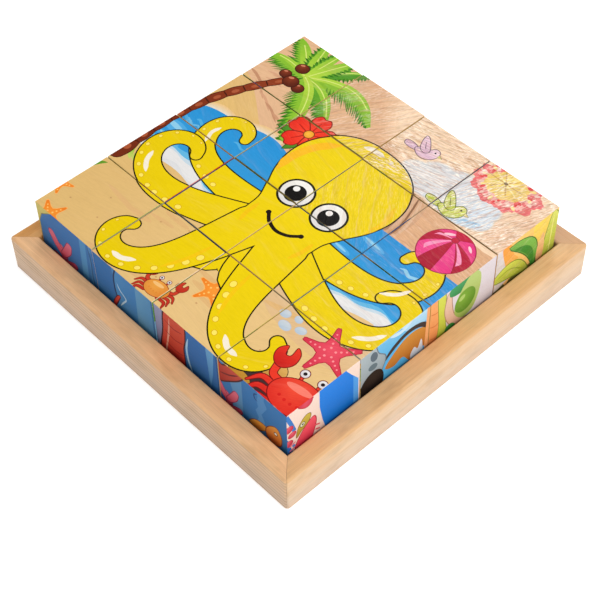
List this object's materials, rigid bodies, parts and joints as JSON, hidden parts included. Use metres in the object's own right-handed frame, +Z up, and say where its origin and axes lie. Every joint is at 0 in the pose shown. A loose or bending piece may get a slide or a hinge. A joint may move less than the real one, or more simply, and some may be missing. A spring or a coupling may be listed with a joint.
{
  "type": "picture cube puzzle",
  "caption": "Loose six-sided wooden picture cubes standing edge to edge as a square in a low mitred wooden tray, so that their top faces make one picture.",
  "frame": {"origin": "centre of the underside of the tray, on the surface that it stands on", "axes": "+Z up out of the tray; +Y from the front row of cubes to the back row, which is upright for the top picture; +X to the right along a row"},
  "size_m": [0.1374, 0.1374, 0.0317],
  "materials": {
    "printed_wood": "pine cube with a glossy varnished colour print",
    "tray_wood": "clear-coated pine, fine sanded",
    "panel_wood": "thin plywood, sanded",
    "pin_steel": "bright steel brad"
  },
  "bodies": {
    "tray": {"rail_front": "tray_wood", "rail_right": "tray_wood", "rail_back": "tray_wood", "rail_left": "tray_wood", "base_panel": "panel_wood", "panel_pin_1": "pin_steel", "panel_pin_2": "pin_steel", "panel_pin_3": "pin_steel", "panel_pin_4": "pin_steel", "panel_pin_5": "pin_steel", "panel_pin_6": "pin_steel", "panel_pin_7": "pin_steel", "panel_pin_8": "pin_steel"},
    "cube_r1c1": {"picture_cube_r1c1": "printed_wood"},
    "cube_r1c2": {"picture_cube_r1c2": "printed_wood"},
    "cube_r1c3": {"picture_cube_r1c3": "printed_wood"},
    "cube_r1c4": {"picture_cube_r1c4": "printed_wood"},
    "cube_r2c1": {"picture_cube_r2c1": "printed_wood"},
    "cube_r2c2": {"picture_cube_r2c2": "printed_wood"},
    "cube_r2c3": {"picture_cube_r2c3": "printed_wood"},
    "cube_r2c4": {"picture_cube_r2c4": "printed_wood"},
    "cube_r3c1": {"picture_cube_r3c1": "printed_wood"},
    "cube_r3c2": {"picture_cube_r3c2": "printed_wood"},
    "cube_r3c3": {"picture_cube_r3c3": "printed_wood"},
    "cube_r3c4": {"picture_cube_r3c4": "printed_wood"},
    "cube_r4c1": {"picture_cube_r4c1": "printed_wood"},
    "cube_r4c2": {"picture_cube_r4c2": "printed_wood"},
    "cube_r4c3": {"picture_cube_r4c3": "printed_wood"},
    "cube_r4c4": {"picture_cube_r4c4": "printed_wood"}
  },
  "joints": [
    {"name": "lift_r1c1", "type": "slide", "parent": "tray", "child": "cube_r1c1", "axis": [0, 0, 1], "range_m": [0, 0.045]},
    {"name": "lift_r1c2", "type": "slide", "parent": "tray", "child": "cube_r1c2", "axis": [0, 0, 1], "range_m": [0, 0.045]},
    {"name": "lift_r1c3", "type": "slide", "parent": "tray", "child": "cube_r1c3", "axis": [0, 0, 1], "range_m": [0, 0.045]},
    {"name": "lift_r1c4", "type": "slide", "parent": "tray", "child": "cube_r1c4", "axis": [0, 0, 1], "range_m": [0, 0.045]},
    {"name": "lift_r2c1", "type": "slide", "parent": "tray", "child": "cube_r2c1", "axis": [0, 0, 1], "range_m": [0, 0.045]},
    {"name": "lift_r2c2", "type": "slide", "parent": "tray", "child": "cube_r2c2", "axis": [0, 0, 1], "range_m": [0, 0.045]},
    {"name": "lift_r2c3", "type": "slide", "parent": "tray", "child": "cube_r2c3", "axis": [0, 0, 1], "range_m": [0, 0.045]},
    {"name": "lift_r2c4", "type": "slide", "parent": "tray", "child": "cube_r2c4", "axis": [0, 0, 1], "range_m": [0, 0.045]},
    {"name": "lift_r3c1", "type": "slide", "parent": "tray", "child": "cube_r3c1", "axis": [0, 0, 1], "range_m": [0, 0.045]},
    {"name": "lift_r3c2", "type": "slide", "parent": "tray", "child": "cube_r3c2", "axis": [0, 0, 1], "range_m": [0, 0.045]},
    {"name": "lift_r3c3", "type": "slide", "parent": "tray", "child": "cube_r3c3", "axis": [0, 0, 1], "range_m": [0, 0.045]},
    {"name": "lift_r3c4", "type": "slide", "parent": "tray", "child": "cube_r3c4", "axis": [0, 0, 1], "range_m": [0, 0.045]},
    {"name": "lift_r4c1", "type": "slide", "parent": "tray", "child": "cube_r4c1", "axis": [0, 0, 1], "range_m": [0, 0.045]},
    {"name": "lift_r4c2", "type": "slide", "parent": "tray", "child": "cube_r4c2", "axis": [0, 0, 1], "range_m": [0, 0.045]},
    {"name": "lift_r4c3", "type": "slide", "parent": "tray", "child": "cube_r4c3", "axis": [0, 0, 1], "range_m": [0, 0.045]},
    {"name": "lift_r4c4", "type": "slide", "parent": "tray", "child": "cube_r4c4", "axis": [0, 0, 1], "range_m": [0, 0.045]}
  ]
}
